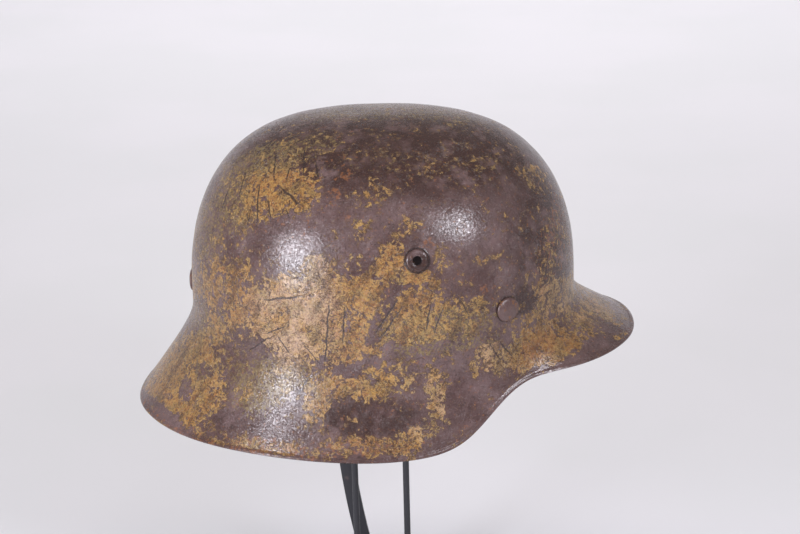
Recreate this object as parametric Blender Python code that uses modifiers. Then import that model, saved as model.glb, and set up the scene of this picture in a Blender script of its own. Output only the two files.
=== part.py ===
"""Military steel helmet held on a plain display stand.

Lengths are in metres, with +Z up, +X toward the visor and +Y toward the wearer's left.
The origin is the middle of the stand base's underside.
"""
import math

import bmesh
import bpy
import numpy as np
from mathutils import Vector
from mathutils.geometry import interpolate_bezier

# Pressed shell, measured over the outside of the steel
HELMET_LENGTH = 0.304      # front of the visor to the back of the neck guard
HELMET_WIDTH = 0.226       # across the flared rim
HELMET_HEIGHT = 0.1745     # lowest point of the rim to the crown's top
CROWN_LENGTH = 0.231       # upright wall, front to rear
CROWN_WIDTH = 0.188        # upright wall, side to side
WALL = 0.0012
RIM_HEIGHT = 0.160         # lowest point of the rim above the table

# How square the crown is: 2 is an ellipse, more is squarer
PLAN_POWER = 2.1           # seen from above
LONG_POWER = 2.9           # seen from the side
SIDE_POWER = 2.35          # seen from the front
TOP_POWER = 2.5            # how flat the top is
FLARE_PULL = 1.9           # how closely the flare follows its bend

# Heights on the shell as shares of the helmet's height: front, side, rear
WAIST = (0.405, 0.395, 0.365)    # where the upright wall ends and the flare starts
BEND = (0.345, 0.225, 0.285)     # where the flare turns outward

# The rim from front to rear, the same on both sides.
# Bearing in degrees from the front, reach as a share of the half length and half width,
# and rise above the rim's lowest point as a share of the helmet's height.
RIM = (
    # bearing, reach, rise
    (0, 1.000, 0.240),
    (18, 0.995, 0.240),
    (36, 0.935, 0.221),
    (48, 0.870, 0.198),
    (58, 0.885, 0.139),
    (68, 0.920, 0.042),
    (80, 0.965, 0.003),
    (95, 0.996, 0.001),
    (115, 1.020, 0.010),
    (137, 1.020, 0.009),
    (158, 1.010, 0.008),
    (180, 1.000, 0.000),
)
BEARINGS = 84              # sections round the shell
CROWN_ROWS = 13
FLARE_ROWS = 9

# Air vents embossed in both sides of the shell
VENT_HOLE = 0.0051
VENT_RING = 0.0136
VENT_RISE = 0.0017
VENT_FOOT = 0.3            # how deep the ring's edge lies in the wall, as a share of the wall
VENT_BEARING = 76.5
VENT_LEVEL = 0.641         # share of the helmet's height

# Rivets that carried the lining band. Level is a share of the helmet's height.
RIVET_HEAD = 0.0142
RIVET_DOME = 0.0025
RIVET_SHANK = 0.0044
RIVET_CLINCH = 0.0085
CLINCH_THICKNESS = 0.001
RIVETS = (
    # name, bearing, level
    ("right_front_rivet", -50, 0.444),
    ("left_front_rivet", 50, 0.444),
    ("rear_rivet", 180, 0.400),
)

# Stand
BASE_DIAMETER = 0.150
BASE_THICKNESS = 0.005
BASE_CHAMFER = 0.0008
ROD_DIAMETER = 0.004
ROD_SPACING = 0.032
ROD_MIDDLE = -0.004        # middle of the two rods along X
ROD_OFFSET = -0.012        # both rods along Y
STRUT_WIDTH = 0.0095
STRUT_THICKNESS = 0.003
STRUT_STEPS = 24           # along its curve
STRUT_OFFSET = 0.014       # along Y
STRUT_FOOT = -0.009        # where the strut stands on the base, along X
STRUT_BOW = -0.0435        # how far its bend is pulled along X
STRUT_TOP = -0.019         # where it meets the rest, along X
REST_DIAMETER = 0.058
REST_THICKNESS = 0.005

CLEARANCE = 0.0003         # between pieces that touch
CUT_REACH = 0.006          # how far a cutter runs past the wall on each side

STEEL_PAINT = (0.120, 0.085, 0.060, 1.0)
RIVET_PAINT = (0.060, 0.045, 0.040, 1.0)
STAND_BLACK = (0.045, 0.046, 0.052, 1.0)


def start_scene():
    """Remove what is in the scene, then make a collection for the parts and two for tools."""
    for thing in list(bpy.data.objects):
        bpy.data.objects.remove(thing, do_unlink=True)
    for name in ("steel_helmet", "vent_rings", "hole_cutters"):
        group = bpy.data.collections.get(name) or bpy.data.collections.new(name)
        if group.name not in bpy.context.scene.collection.children:
            bpy.context.scene.collection.children.link(group)


def material(name, colour, roughness, metallic):
    made = bpy.data.materials.new(name)
    made.use_nodes = True
    shader = made.node_tree.nodes["Principled BSDF"]
    shader.inputs["Base Color"].default_value = colour
    shader.inputs["Roughness"].default_value = roughness
    shader.inputs["Metallic"].default_value = metallic
    return made


def add_object(name, data, finish=None, group="steel_helmet"):
    """Add a part, or a tool that only shapes the shell where the group is one of tools."""
    made = bpy.data.objects.new(name, data)
    bpy.data.collections[group].objects.link(made)
    if finish:
        data.materials.append(finish)
    if group != "steel_helmet":
        made.hide_render = True
        made.display_type = "WIRE"
    return made


def spline(rows, column, bearing):
    """Smooth closed curve through one column of a table that covers the front to the rear."""
    degrees = np.array([row[0] for row in rows], float)
    values = np.array([row[column] for row in rows], float)
    knots = np.concatenate([degrees, 360 - degrees[-2:0:-1]])
    heights = np.concatenate([values, values[-2:0:-1]])
    count = len(knots)
    gaps = np.diff(np.append(knots, 360.0))
    system = np.zeros((count, count))
    right_side = np.zeros(count)
    for i in range(count):
        before, after = i - 1, (i + 1) % count
        system[i, before] += gaps[before]
        system[i, i] += 2 * (gaps[before] + gaps[i])
        system[i, after] += gaps[i]
        slopes = (heights[after] - heights[i]) / gaps[i], (heights[i] - heights[before]) / gaps[before]
        right_side[i] = 6 * (slopes[0] - slopes[1])
    curl = np.linalg.solve(system, right_side)
    turn = bearing % 360.0
    i = min(int(np.searchsorted(knots, turn, side="right")) - 1, count - 1)
    after = (i + 1) % count
    gone = turn - knots[i]
    left = gaps[i] - gone
    bent = (curl[i] * left ** 3 + curl[after] * gone ** 3) / (6 * gaps[i])
    start = (heights[i] / gaps[i] - curl[i] * gaps[i] / 6) * left
    end = (heights[after] / gaps[i] - curl[after] * gaps[i] / 6) * gone
    return float(bent + start + end)


def round_shell(values, bearing):
    """Value at a bearing, from its values at the front, the side and the rear."""
    front, side, rear = values
    ahead = math.cos(math.radians(bearing))
    return side + ((front if ahead > 0 else rear) - side) * ahead * ahead


def meridian(bearing, rows):
    """Points on the outside of the shell from the crown's top to the rim.

    A row from 0 to 1 is on the crown and from 1 to 2 on the flare.
    """
    ahead, aside = math.cos(math.radians(bearing)), math.sin(math.radians(bearing))
    plan = (abs(ahead) ** PLAN_POWER + abs(aside) ** PLAN_POWER) ** (-1 / PLAN_POWER)
    wall_x, wall_y = plan * ahead * CROWN_LENGTH / 2, plan * aside * CROWN_WIDTH / 2
    waist = round_shell(WAIST, bearing) * HELMET_HEIGHT
    bend = round_shell(BEND, bearing) * HELMET_HEIGHT
    power = round_shell((LONG_POWER, SIDE_POWER, LONG_POWER), bearing)
    reach = spline(RIM, 1, bearing)
    rim_x, rim_y = reach * ahead * HELMET_LENGTH / 2, reach * aside * HELMET_WIDTH / 2
    rim_z = spline(RIM, 2, bearing) * HELMET_HEIGHT
    points = []
    for row in rows:
        if row <= 1:
            angle = row * math.pi / 2
            out = math.sin(angle) ** (2 / power)
            up = max(math.cos(angle), 0.0) ** (2 / TOP_POWER)
            point = (wall_x * out, wall_y * out, waist + (HELMET_HEIGHT - waist) * up)
        else:
            t = row - 1
            share = (1 - t) ** 2, 2 * FLARE_PULL * t * (1 - t), t * t
            whole = sum(share)
            near, far = (share[0] + share[1]) / whole, share[2] / whole
            height = (share[0] * waist + share[1] * bend + share[2] * rim_z) / whole
            point = (wall_x * near + rim_x * far, wall_y * near + rim_y * far, height)
        points.append(Vector((point[0], point[1], point[2] + RIM_HEIGHT)))
    return points


def on_shell(bearing, level):
    """Point and outward direction on the shell, at a share of the helmet's height."""
    goal = RIM_HEIGHT + level * HELMET_HEIGHT
    low, high = 0.0, 2.0
    for _ in range(40):
        row = (low + high) / 2
        if meridian(bearing, [row])[0].z > goal:
            low = row
        else:
            high = row
    point, below = meridian(bearing, [row, row + 0.01])
    beside = meridian(bearing + 0.5, [row])[0]
    outward = (beside - point).cross(below - point).normalized()
    if outward.dot(Vector((point.x, point.y, 0))) < 0:
        outward.negate()
    return point, outward


def face_outward(thing, bearing, level, lift=0.0):
    """Seat an object on the shell with its own +Z pointing straight out."""
    point, outward = on_shell(bearing, level)
    thing.location = point + outward * lift
    thing.rotation_mode = "QUATERNION"
    thing.rotation_quaternion = outward.to_track_quat("Z", "Y")


def turned(name, profile, sides, finish=None, group="steel_helmet"):
    """Solid turned about its own Z from radius and height pairs, listed from the top down."""
    mesh = bpy.data.meshes.new(name)
    points = [(radius, 0, height) for radius, height in profile]
    mesh.from_pydata(points, [(i, i + 1) for i in range(len(points) - 1)], [])
    made = add_object(name, mesh, finish, group)
    screw = made.modifiers.new("turn", "SCREW")
    screw.steps = sides
    screw.render_steps = sides
    screw.use_merge_vertices = True
    screw.merge_threshold = 0.00001
    screw.use_smooth_shade = True
    return made


def rod(name, diameter, bottom, top, x, y, finish):
    mesh = bpy.data.meshes.new(name)
    made = add_object(name, mesh, finish)
    shape = bmesh.new()
    bmesh.ops.create_cone(shape, cap_ends=True, segments=20, depth=top - bottom,
                          radius1=diameter / 2, radius2=diameter / 2)
    shape.to_mesh(mesh)
    shape.free()
    made.location = (x, y, (bottom + top) / 2)
    return made


def combine(thing, group, operation):
    """Join all the objects of a collection to a thing, or cut them all from it, in one step."""
    step = thing.modifiers.new(group, "BOOLEAN")
    step.operation = operation
    step.solver = "EXACT"
    step.operand_type = "COLLECTION"
    step.collection = bpy.data.collections[group]


def make_shell(finish):
    """One pressed sheet: a loft from the crown's top down to the rim, thickened inward."""
    rows = [row / CROWN_ROWS for row in range(1, CROWN_ROWS + 1)]
    rows += [1 + row / FLARE_ROWS for row in range(1, FLARE_ROWS + 1)]
    shape = bmesh.new()
    top = shape.verts.new(meridian(0, [0])[0])
    sections = []
    for i in range(BEARINGS):
        points = meridian(360 * i / BEARINGS, rows)
        sections.append([shape.verts.new(point) for point in points])
    for i, here in enumerate(sections):
        beside = sections[(i + 1) % BEARINGS]
        shape.faces.new((top, here[0], beside[0]))
        for row in range(len(rows) - 1):
            shape.faces.new((here[row], here[row + 1], beside[row + 1], beside[row]))
    mesh = bpy.data.meshes.new("shell")
    shape.to_mesh(mesh)
    shape.free()
    mesh.shade_smooth()
    shell = add_object("shell", mesh, finish)
    sheet = shell.modifiers.new("sheet", "SOLIDIFY")
    sheet.thickness = WALL
    sheet.offset = -1
    return shell


def vent_profile():
    """Raised ring that dips toward the hole. Its foot is buried in the wall."""
    middle, outer = VENT_HOLE * 0.35, VENT_RING / 2
    crest = VENT_RISE + WALL * VENT_FOOT
    points = []
    for i in range(9):
        turn = math.radians(30 + 150 * i / 8)
        points.append((middle + (outer - middle) * i / 8, crest * math.sin(turn) - WALL * VENT_FOOT))
    buried = -WALL * (1 + VENT_FOOT) / 2
    return [(0.0, points[0][1])] + points + [(outer, buried), (0.0, buried)]


def place_vents():
    for side, bearing in (("right", -VENT_BEARING), ("left", VENT_BEARING)):
        ring = turned(f"{side}_vent_ring", vent_profile(), 24, group="vent_rings")
        face_outward(ring, bearing, VENT_LEVEL)
        place_hole(f"{side}_vent_hole", VENT_HOLE / 2, bearing, VENT_LEVEL)


def place_hole(name, radius, bearing, level):
    """Cutter for a round hole straight through the wall."""
    reach = WALL + CUT_REACH
    profile = [(0, reach), (radius, reach), (radius, -reach), (0, -reach)]
    hole = turned(name, profile, 24, group="hole_cutters")
    face_outward(hole, bearing, level)


def rivet_profile():
    """Domed head outside, shank through the wall and a flat clinch inside."""
    head, shank, clinch = RIVET_HEAD / 2, RIVET_SHANK / 2, RIVET_CLINCH / 2
    points = []
    for i in range(6):
        turn = math.radians(90 * i / 5)
        points.append((head * math.sin(turn), RIVET_DOME * (0.25 + 0.75 * math.cos(turn))))
    points.append((head, 0.0))
    curve_gap = clinch ** 2 / CROWN_WIDTH
    grip = CLEARANCE + WALL + CLEARANCE + curve_gap
    points += [(shank, 0.0), (shank, -grip), (clinch, -grip)]
    points += [(clinch, -grip - CLINCH_THICKNESS), (0.0, -grip - CLINCH_THICKNESS)]
    return points


def make_rivets(finish):
    for name, bearing, level in RIVETS:
        place_hole(f"{name}_hole", RIVET_SHANK / 2 + CLEARANCE, bearing, level)
        rivet = turned(name, rivet_profile(), 20, finish)
        face_outward(rivet, bearing, level, lift=CLEARANCE)


def rest_top():
    """Height at which the rest's edge touches the inside of the crown at its sides."""
    rows = [row / CROWN_ROWS for row in range(CROWN_ROWS + 1)]
    points = meridian(90, rows)
    edge = np.interp(REST_DIAMETER / 2, [point.y for point in points], [point.z for point in points])
    steep = (points[2] - points[0]).normalized()
    return float(edge) - WALL / max(abs(steep.y), 0.5) - CLEARANCE


def strut_outline(bottom, top):
    """Flat bar that bows to the rear, cut level at both ends."""
    foot, head = Vector((STRUT_FOOT, bottom, 0)), Vector((STRUT_TOP, top, 0))
    tall = top - bottom
    low_pull = Vector((STRUT_BOW, bottom + 0.38 * tall, 0))
    high_pull = Vector((STRUT_BOW * 0.7, bottom + 0.72 * tall, 0))
    middle = interpolate_bezier(foot, low_pull, high_pull, head, STRUT_STEPS + 1)
    left, right = [], []
    for i, point in enumerate(middle):
        run = middle[min(i + 1, STRUT_STEPS)] - middle[max(i - 1, 0)]
        half = STRUT_WIDTH / 2 * run.length / run.y
        left.append((point.x - half, point.y))
        right.append((point.x + half, point.y))
    return right + left[::-1]


def make_strut(bottom, top, finish):
    outline = bpy.data.curves.new("stand_strut", "CURVE")
    outline.dimensions = "2D"
    outline.fill_mode = "BOTH"
    outline.extrude = STRUT_THICKNESS / 2
    edge = outline.splines.new("POLY")
    points = strut_outline(bottom, top)
    edge.points.add(len(points) - 1)
    for place, point in zip(edge.points, points):
        place.co = (point[0], point[1], 0, 1)
    edge.use_cyclic_u = True
    strut = add_object("stand_strut", outline, finish)
    strut.rotation_euler = (math.pi / 2, 0, 0)
    strut.location.y = STRUT_OFFSET


def disc(name, diameter, bottom, top, x, finish):
    """Flat round plate with chamfered edges."""
    radius, edge, thick = diameter / 2, BASE_CHAMFER, top - bottom
    profile = [(0, thick), (radius - edge, thick), (radius, thick - edge)]
    profile += [(radius, edge), (radius - edge, 0), (0, 0)]
    made = turned(name, profile, 56, finish)
    made.location = (x, 0, bottom)


def make_stand(finish):
    """Base, two upright rods, one bowed flat strut and the rest under the crown."""
    top = rest_top()
    low, high = BASE_THICKNESS + CLEARANCE, top - REST_THICKNESS - CLEARANCE
    disc("stand_base", BASE_DIAMETER, 0.0, BASE_THICKNESS, 0.0, finish)
    disc("stand_rest", REST_DIAMETER, top - REST_THICKNESS, top, ROD_MIDDLE, finish)
    for name, side in (("stand_rear_rod", -1), ("stand_front_rod", 1)):
        rod(name, ROD_DIAMETER, low, high, ROD_MIDDLE + side * ROD_SPACING / 2, ROD_OFFSET, finish)
    make_strut(low, high, finish)


def main():
    start_scene()
    paint = material("worn_helmet_paint", STEEL_PAINT, 0.45, 0.3)
    rivet_paint = material("worn_rivet_paint", RIVET_PAINT, 0.4, 0.4)
    black = material("black_stand_metal", STAND_BLACK, 0.4, 0.8)
    shell = make_shell(paint)
    place_vents()
    make_rivets(rivet_paint)
    combine(shell, "vent_rings", "UNION")
    combine(shell, "hole_cutters", "DIFFERENCE")
    make_stand(black)


main()
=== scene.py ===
"""Finished look of the worn steel helmet on its stand: surfaces, paint, light and camera.

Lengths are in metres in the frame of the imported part: +Z up, +X toward the visor, +Y toward
the wearer's left. Tables marked as pixels give places in the photograph's 800 by 534 frame.
"""
import math

import bmesh
import bpy
import numpy as np
from mathutils import Matrix, Vector, noise
from mathutils.bvhtree import BVHTree
from mathutils.geometry import interpolate_bezier

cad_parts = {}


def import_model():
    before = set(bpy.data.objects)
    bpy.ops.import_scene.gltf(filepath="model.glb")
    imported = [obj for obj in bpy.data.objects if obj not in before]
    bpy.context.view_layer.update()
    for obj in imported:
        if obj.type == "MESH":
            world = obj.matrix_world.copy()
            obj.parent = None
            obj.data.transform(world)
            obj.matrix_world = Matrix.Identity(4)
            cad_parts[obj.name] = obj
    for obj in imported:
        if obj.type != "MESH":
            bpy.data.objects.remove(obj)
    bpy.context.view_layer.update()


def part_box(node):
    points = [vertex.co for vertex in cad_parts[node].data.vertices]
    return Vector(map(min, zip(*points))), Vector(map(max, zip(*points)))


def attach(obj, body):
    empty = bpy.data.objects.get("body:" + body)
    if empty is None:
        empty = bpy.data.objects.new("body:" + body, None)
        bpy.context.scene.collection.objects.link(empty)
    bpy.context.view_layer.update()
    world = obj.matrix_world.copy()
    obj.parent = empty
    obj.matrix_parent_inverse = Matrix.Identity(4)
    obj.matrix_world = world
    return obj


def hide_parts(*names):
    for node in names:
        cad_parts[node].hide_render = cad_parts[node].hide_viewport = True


# Photograph and camera
IMAGE_WIDTH = 800
IMAGE_HEIGHT = 534
LENS = 76.5
SENSOR = 36.0
FOCAL = LENS / SENSOR * IMAGE_WIDTH    # in pixels
CAMERA_AIM = (0.010668, 0.0, 0.236926)
CAMERA_AZIMUTH = 3.692
CAMERA_ELEVATION = 19.554
CAMERA_ROLL = -1.426
CAMERA_DISTANCE = 1.02919
CAMERA_REACH = (0.05, 20.0)

# Round table and the wall that it sweeps up into
STAGE_FLOOR = 2.2          # radius of the flat middle
STAGE_WALL = 3.2           # radius of the wall
STAGE_HEIGHT = 1.3
STAGE_STEPS = 16           # along the sweep
STAGE_RINGS = (1.2, 0.5, 0.0)
STAGE_SIDES = 128
STAGE_GAP = 0.0005         # under the base

# Pressed shell, as in the part's source
HELMET_LENGTH = 0.304
HELMET_WIDTH = 0.226
HELMET_HEIGHT = 0.1745
CROWN_LENGTH = 0.231
CROWN_WIDTH = 0.188
WALL = 0.0012
RIM_HEIGHT = 0.160
PLAN_POWER = 2.1
LONG_POWER = 2.9
SIDE_POWER = 2.35
TOP_POWER = 2.5
FLARE_PULL = 1.9
WAIST = (0.405, 0.395, 0.365)
BEND = (0.345, 0.225, 0.285)
RIM = (
    # bearing, reach, rise
    (0, 1.000, 0.240),
    (18, 0.995, 0.240),
    (36, 0.935, 0.221),
    (48, 0.870, 0.198),
    (58, 0.885, 0.139),
    (68, 0.920, 0.042),
    (80, 0.965, 0.003),
    (95, 0.996, 0.001),
    (115, 1.020, 0.010),
    (137, 1.020, 0.009),
    (158, 1.010, 0.008),
    (180, 1.000, 0.000),
)
VENT_HOLE = 0.0051
VENT_RING = 0.0136
VENT_RISE = 0.0017
VENT_BEARING = 76.5
VENT_LEVEL = 0.641

# Rivets and stand, as in the part's source
RIVET_HEAD = 0.0142
RIVET_DOME = 0.0025
RIVET_SHANK = 0.0044
RIVET_CLINCH = 0.0085
CLINCH_THICKNESS = 0.001
RIVETS = (
    # name, bearing, level
    ("right_front_rivet", -50, 0.444),
    ("left_front_rivet", 50, 0.444),
    ("rear_rivet", 180, 0.400),
)
CLEARANCE = 0.0003
BASE_CHAMFER = 0.0008
STRUT_WIDTH = 0.0095
STRUT_FOOT = -0.009
STRUT_BOW = -0.0435
STRUT_TOP = -0.019
STRUT_PULLS = ((1.0, 0.38), (0.7, 0.72))    # shares of the bow and of the strut's height

# Edges and divisions of the finished small pieces
STRUT_EDGE = 0.0006
STRUT_STEPS = 72
CORNER_STEPS = 3           # along each rounded edge of the strut
ROD_EDGE = 0.0003
ROD_RINGS = 12
ROD_SIDES = 40
RIVET_EDGE = 0.0002
RIVET_BRIM = 0.22          # height of the head's edge, as a share of the dome's
RIVET_FULLNESS = 0.9       # power of the dome's curve
RIVET_STEPS = 12
RIVET_SIDES = 48
DENT_SIZE = 0.0035
DENT_DEPTH = 0.00016

# Grid of the finished shell
NEAR_SPACING = 0.00156     # between lines on the side that the photograph shows
FAR_SPACING = 0.0029
ROW_SPACING = 0.00155
HOLE_LINES = 4             # from a vent's middle to the edge of its hole
RING_LINES = 12            # from there to the ring's edge
SPREAD_LINES = 8           # from there to the regular spacing
SPREAD_GROWTH = 1.17
RIM_LINES = 8
RIM_FINE = 0.0034          # width of the finely divided strip along the rim
RIM_ROUND = 0.0002         # rounding of the rim's edge
LIP_WIDTH = 0.0021
LIP_RISE = 0.00045
SHELL_SINK = 0.0002        # how deep the finished surface lies in the solid, below its lumps
VENT_CREST = 0.42          # place of the ring's top between the hole and the foot
LEVEL_ROWS = 8001          # rows tried to find a level
RULER_ROWS = 20001         # rows measured down the side


def smooth(value, low, high):
    """0 below low and 1 above high, or the reverse where high is the smaller, with soft ends."""
    share = np.clip((value - low) / (high - low), 0.0, 1.0)
    return share * share * (3 - 2 * share)


# Camera

def camera_axes():
    """Right, up and back of the camera, as unit vectors."""
    azimuth, elevation = math.radians(CAMERA_AZIMUTH), math.radians(CAMERA_ELEVATION)
    roll = math.radians(CAMERA_ROLL)
    back = Vector((math.sin(azimuth) * math.cos(elevation),
                   -math.cos(azimuth) * math.cos(elevation), math.sin(elevation)))
    level = Vector((math.cos(azimuth), math.sin(azimuth), 0))
    upright = back.cross(level)
    right = level * math.cos(roll) + upright * math.sin(roll)
    up = upright * math.cos(roll) - level * math.sin(roll)
    return right, up, back


def make_camera():
    right, up, back = camera_axes()
    data = bpy.data.cameras.new("photo_camera")
    data.lens = LENS
    data.sensor_width = SENSOR
    data.clip_start, data.clip_end = CAMERA_REACH
    camera = bpy.data.objects.new("photo_camera", data)
    place = Matrix((right, up, back)).transposed().to_4x4()
    place.translation = Vector(CAMERA_AIM) + back * CAMERA_DISTANCE
    camera.matrix_world = place
    bpy.context.scene.collection.objects.link(camera)
    bpy.context.scene.camera = camera


def photo_place(points, normals):
    """Pixels across and down in the photograph, and how squarely each place faces its camera."""
    right, up, back = (np.array(axis) for axis in camera_axes())
    eye = np.array(CAMERA_AIM) + back * CAMERA_DISTANCE
    away = points - eye
    depth = -(away @ back)
    across = IMAGE_WIDTH / 2 + FOCAL * (away @ right) / depth
    down = IMAGE_HEIGHT / 2 - FOCAL * (away @ up) / depth
    toward = -away / np.linalg.norm(away, axis=1)[:, None]
    return across, down, (normals * toward).sum(axis=1)


# Outside of the shell

class RimCurve:
    """Smooth closed curve through one column of the rim's table."""

    def __init__(self, column):
        degrees = np.array([row[0] for row in RIM], float)
        values = np.array([row[column] for row in RIM], float)
        self.knots = np.concatenate([degrees, 360 - degrees[-2:0:-1]])
        self.heights = np.concatenate([values, values[-2:0:-1]])
        count = len(self.knots)
        self.gaps = np.diff(np.append(self.knots, 360.0))
        system = np.zeros((count, count))
        pull = np.zeros(count)
        for i in range(count):
            before, after = i - 1, (i + 1) % count
            system[i, before] += self.gaps[before]
            system[i, i] += 2 * (self.gaps[before] + self.gaps[i])
            system[i, after] += self.gaps[i]
            ahead = (self.heights[after] - self.heights[i]) / self.gaps[i]
            behind = (self.heights[i] - self.heights[before]) / self.gaps[before]
            pull[i] = 6 * (ahead - behind)
        self.curl = np.linalg.solve(system, pull)

    def at(self, bearing):
        turn = np.mod(bearing, 360.0)
        i = np.clip(np.searchsorted(self.knots, turn, side="right") - 1, 0, len(self.knots) - 1)
        after = (i + 1) % len(self.knots)
        gap, gone = self.gaps[i], turn - self.knots[i]
        left = gap - gone
        bent = (self.curl[i] * left ** 3 + self.curl[after] * gone ** 3) / (6 * gap)
        start = (self.heights[i] / gap - self.curl[i] * gap / 6) * left
        end = (self.heights[after] / gap - self.curl[after] * gap / 6) * gone
        return bent + start + end


RIM_REACH = RimCurve(1)
RIM_RISE = RimCurve(2)


def round_shell(values, ahead):
    """Value at a bearing, from its values at the front, the side and the rear."""
    front, side, rear = values
    return side + (np.where(ahead > 0, front, rear) - side) * ahead * ahead


def outside(bearing, row):
    """Points on the outside of the shell. A row runs 0 to 1 down the crown, 1 to 2 on the flare."""
    bearing, row = np.broadcast_arrays(np.asarray(bearing, float), np.asarray(row, float))
    ahead, aside = np.cos(np.radians(bearing)), np.sin(np.radians(bearing))
    plan = (abs(ahead) ** PLAN_POWER + abs(aside) ** PLAN_POWER) ** (-1 / PLAN_POWER)
    wall_x, wall_y = plan * ahead * CROWN_LENGTH / 2, plan * aside * CROWN_WIDTH / 2
    waist = round_shell(WAIST, ahead) * HELMET_HEIGHT
    bend = round_shell(BEND, ahead) * HELMET_HEIGHT
    power = round_shell((LONG_POWER, SIDE_POWER, LONG_POWER), ahead)
    reach = RIM_REACH.at(bearing)
    rim_x, rim_y = reach * ahead * HELMET_LENGTH / 2, reach * aside * HELMET_WIDTH / 2
    rim_z = RIM_RISE.at(bearing) * HELMET_HEIGHT
    angle = np.clip(row, 0, 1) * math.pi / 2
    out = np.sin(angle) ** (2 / power)
    up = np.maximum(np.cos(angle), 0) ** (2 / TOP_POWER)
    t = np.clip(row - 1, 0, 1)
    shares = (1 - t) ** 2, 2 * FLARE_PULL * t * (1 - t), t * t
    whole = sum(shares)
    near, far = (shares[0] + shares[1]) / whole, shares[2] / whole
    flared = row > 1
    x = np.where(flared, wall_x * near + rim_x * far, wall_x * out)
    y = np.where(flared, wall_y * near + rim_y * far, wall_y * out)
    low = (shares[0] * waist + shares[1] * bend + shares[2] * rim_z) / whole
    z = np.where(flared, low, waist + (HELMET_HEIGHT - waist) * up)
    return np.stack([x, y, z + RIM_HEIGHT], axis=-1)


def outward(bearing, row):
    """Unit vectors straight out of the shell."""
    turn, slide = 0.05, 0.0005
    low = np.clip(row - slide, 0.0001, 2)
    high = np.clip(row + slide, 0.0001, 2)
    along = outside(bearing + turn, row) - outside(bearing - turn, row)
    down = outside(bearing, high) - outside(bearing, low)
    out = np.cross(down, along)
    out /= np.linalg.norm(out, axis=-1)[..., None] + 1e-12
    return np.where((np.asarray(row) < 0.0005)[..., None], np.array((0.0, 0.0, 1.0)), out)


def row_at_level(bearing, level):
    """Row at a share of the helmet's height."""
    rows = np.linspace(0, 2, LEVEL_ROWS)
    heights = outside(np.full(rows.shape, float(bearing)), rows)[:, 2]
    goal = RIM_HEIGHT + level * HELMET_HEIGHT
    return float(np.interp(-goal, -heights, rows))


class Ruler:
    """Turns a length down the shell's side at one bearing into a row, and back."""

    def __init__(self, bearing):
        self.rows = np.linspace(0, 1, RULER_ROWS) ** 2 * 2
        points = outside(np.full(self.rows.shape, float(bearing)), self.rows)
        steps = np.linalg.norm(np.diff(points, axis=0), axis=1)
        self.lengths = np.concatenate([[0], np.cumsum(steps)])
        self.whole = self.lengths[-1]

    def length(self, row):
        return np.interp(row, self.rows, self.lengths)

    def row(self, length):
        return np.interp(length, self.lengths, self.rows)


# Grid lines of the finished shell

def vent_lines():
    """Distances from a vent's middle to the grid lines on both sides of it."""
    hole, ring = VENT_HOLE / 2, VENT_RING / 2
    lines = [hole * i / HOLE_LINES for i in range(1, HOLE_LINES + 1)]
    step = (ring - hole) / RING_LINES
    lines += [hole + step * i for i in range(1, RING_LINES + 1)]
    for _ in range(SPREAD_LINES):
        step *= SPREAD_GROWTH
        lines.append(lines[-1] + step)
    return np.array([-line for line in lines[::-1]] + [0.0] + lines)


def fill(start, stop, spacing):
    """Even number of equal steps from start to stop, without stop."""
    count = 2 * max(1, math.ceil((stop - start) / spacing / 2))
    return np.linspace(start, stop, count, endpoint=False)


class ShellGrid:
    """Bearings and rows of the outside's points, drawn into circles round the vents."""

    def __init__(self):
        ruler = Ruler(VENT_BEARING)
        vent_row = row_at_level(VENT_BEARING, VENT_LEVEL)
        beside = outside([VENT_BEARING - 0.5, VENT_BEARING + 0.5], [vent_row, vent_row])
        self.metre_per_degree = float(np.linalg.norm(beside[1] - beside[0]))
        vent_length = float(ruler.length(vent_row))
        block = vent_lines()
        reach = block[-1]
        turn = reach / self.metre_per_degree
        near = NEAR_SPACING / self.metre_per_degree
        far = FAR_SPACING / self.metre_per_degree
        bearings = np.concatenate([
            fill(-180, -VENT_BEARING - turn, near),
            -VENT_BEARING + block[:-1] / self.metre_per_degree,
            fill(-VENT_BEARING + turn, 0, near),
            fill(0, VENT_BEARING - turn, far),
            VENT_BEARING + block[:-1] / self.metre_per_degree,
            fill(VENT_BEARING + turn, 180, far),
        ])
        waist = float(ruler.length(1.0))
        lengths = np.concatenate([
            fill(0, vent_length - reach, ROW_SPACING),
            vent_length + block[:-1],
            fill(vent_length + reach, waist, ROW_SPACING),
            fill(waist, ruler.whole - RIM_FINE, ROW_SPACING),
            np.linspace(ruler.whole - RIM_FINE, ruler.whole, RIM_LINES + 1),
        ])
        self.turns, self.lengths = np.meshgrid(bearings, lengths, indexing="ij")
        self.holes = []
        for side in (-1, 1):
            self.draw_circles(side * VENT_BEARING, vent_length, reach)
            middle = (int(np.argmin(abs(bearings - side * VENT_BEARING))),
                      int(np.argmin(abs(lengths - vent_length))))
            self.holes.append(middle)
        self.rows = ruler.row(self.lengths)

    def draw_circles(self, bearing, length, reach):
        """Move the grid's points near a vent, so that its squares of lines become circles."""
        across = (self.turns - bearing) * self.metre_per_degree
        along = self.lengths - length
        square = np.maximum(abs(across), abs(along))
        round_ = np.hypot(across, along) + 1e-12
        blend = smooth(square, VENT_RING / 2 * 1.05, reach)
        factor = square / round_ * (1 - blend) + blend
        inside = square < reach
        self.turns = np.where(inside, bearing + across * factor / self.metre_per_degree, self.turns)
        self.lengths = np.where(inside, length + along * factor, self.lengths)


def vent_height(distance):
    """Height of a vent's raised ring at a distance from its axis: round on top, steep outside."""
    inner, outer = VENT_HOLE / 2, VENT_RING / 2
    crest = inner + (outer - inner) * VENT_CREST
    half = np.where(distance < crest, crest - inner * 0.55, outer - crest)
    share = np.clip(abs(distance - crest) / half, 0, 1)
    return VENT_RISE * (1 - share ** 3) ** 0.8


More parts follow.
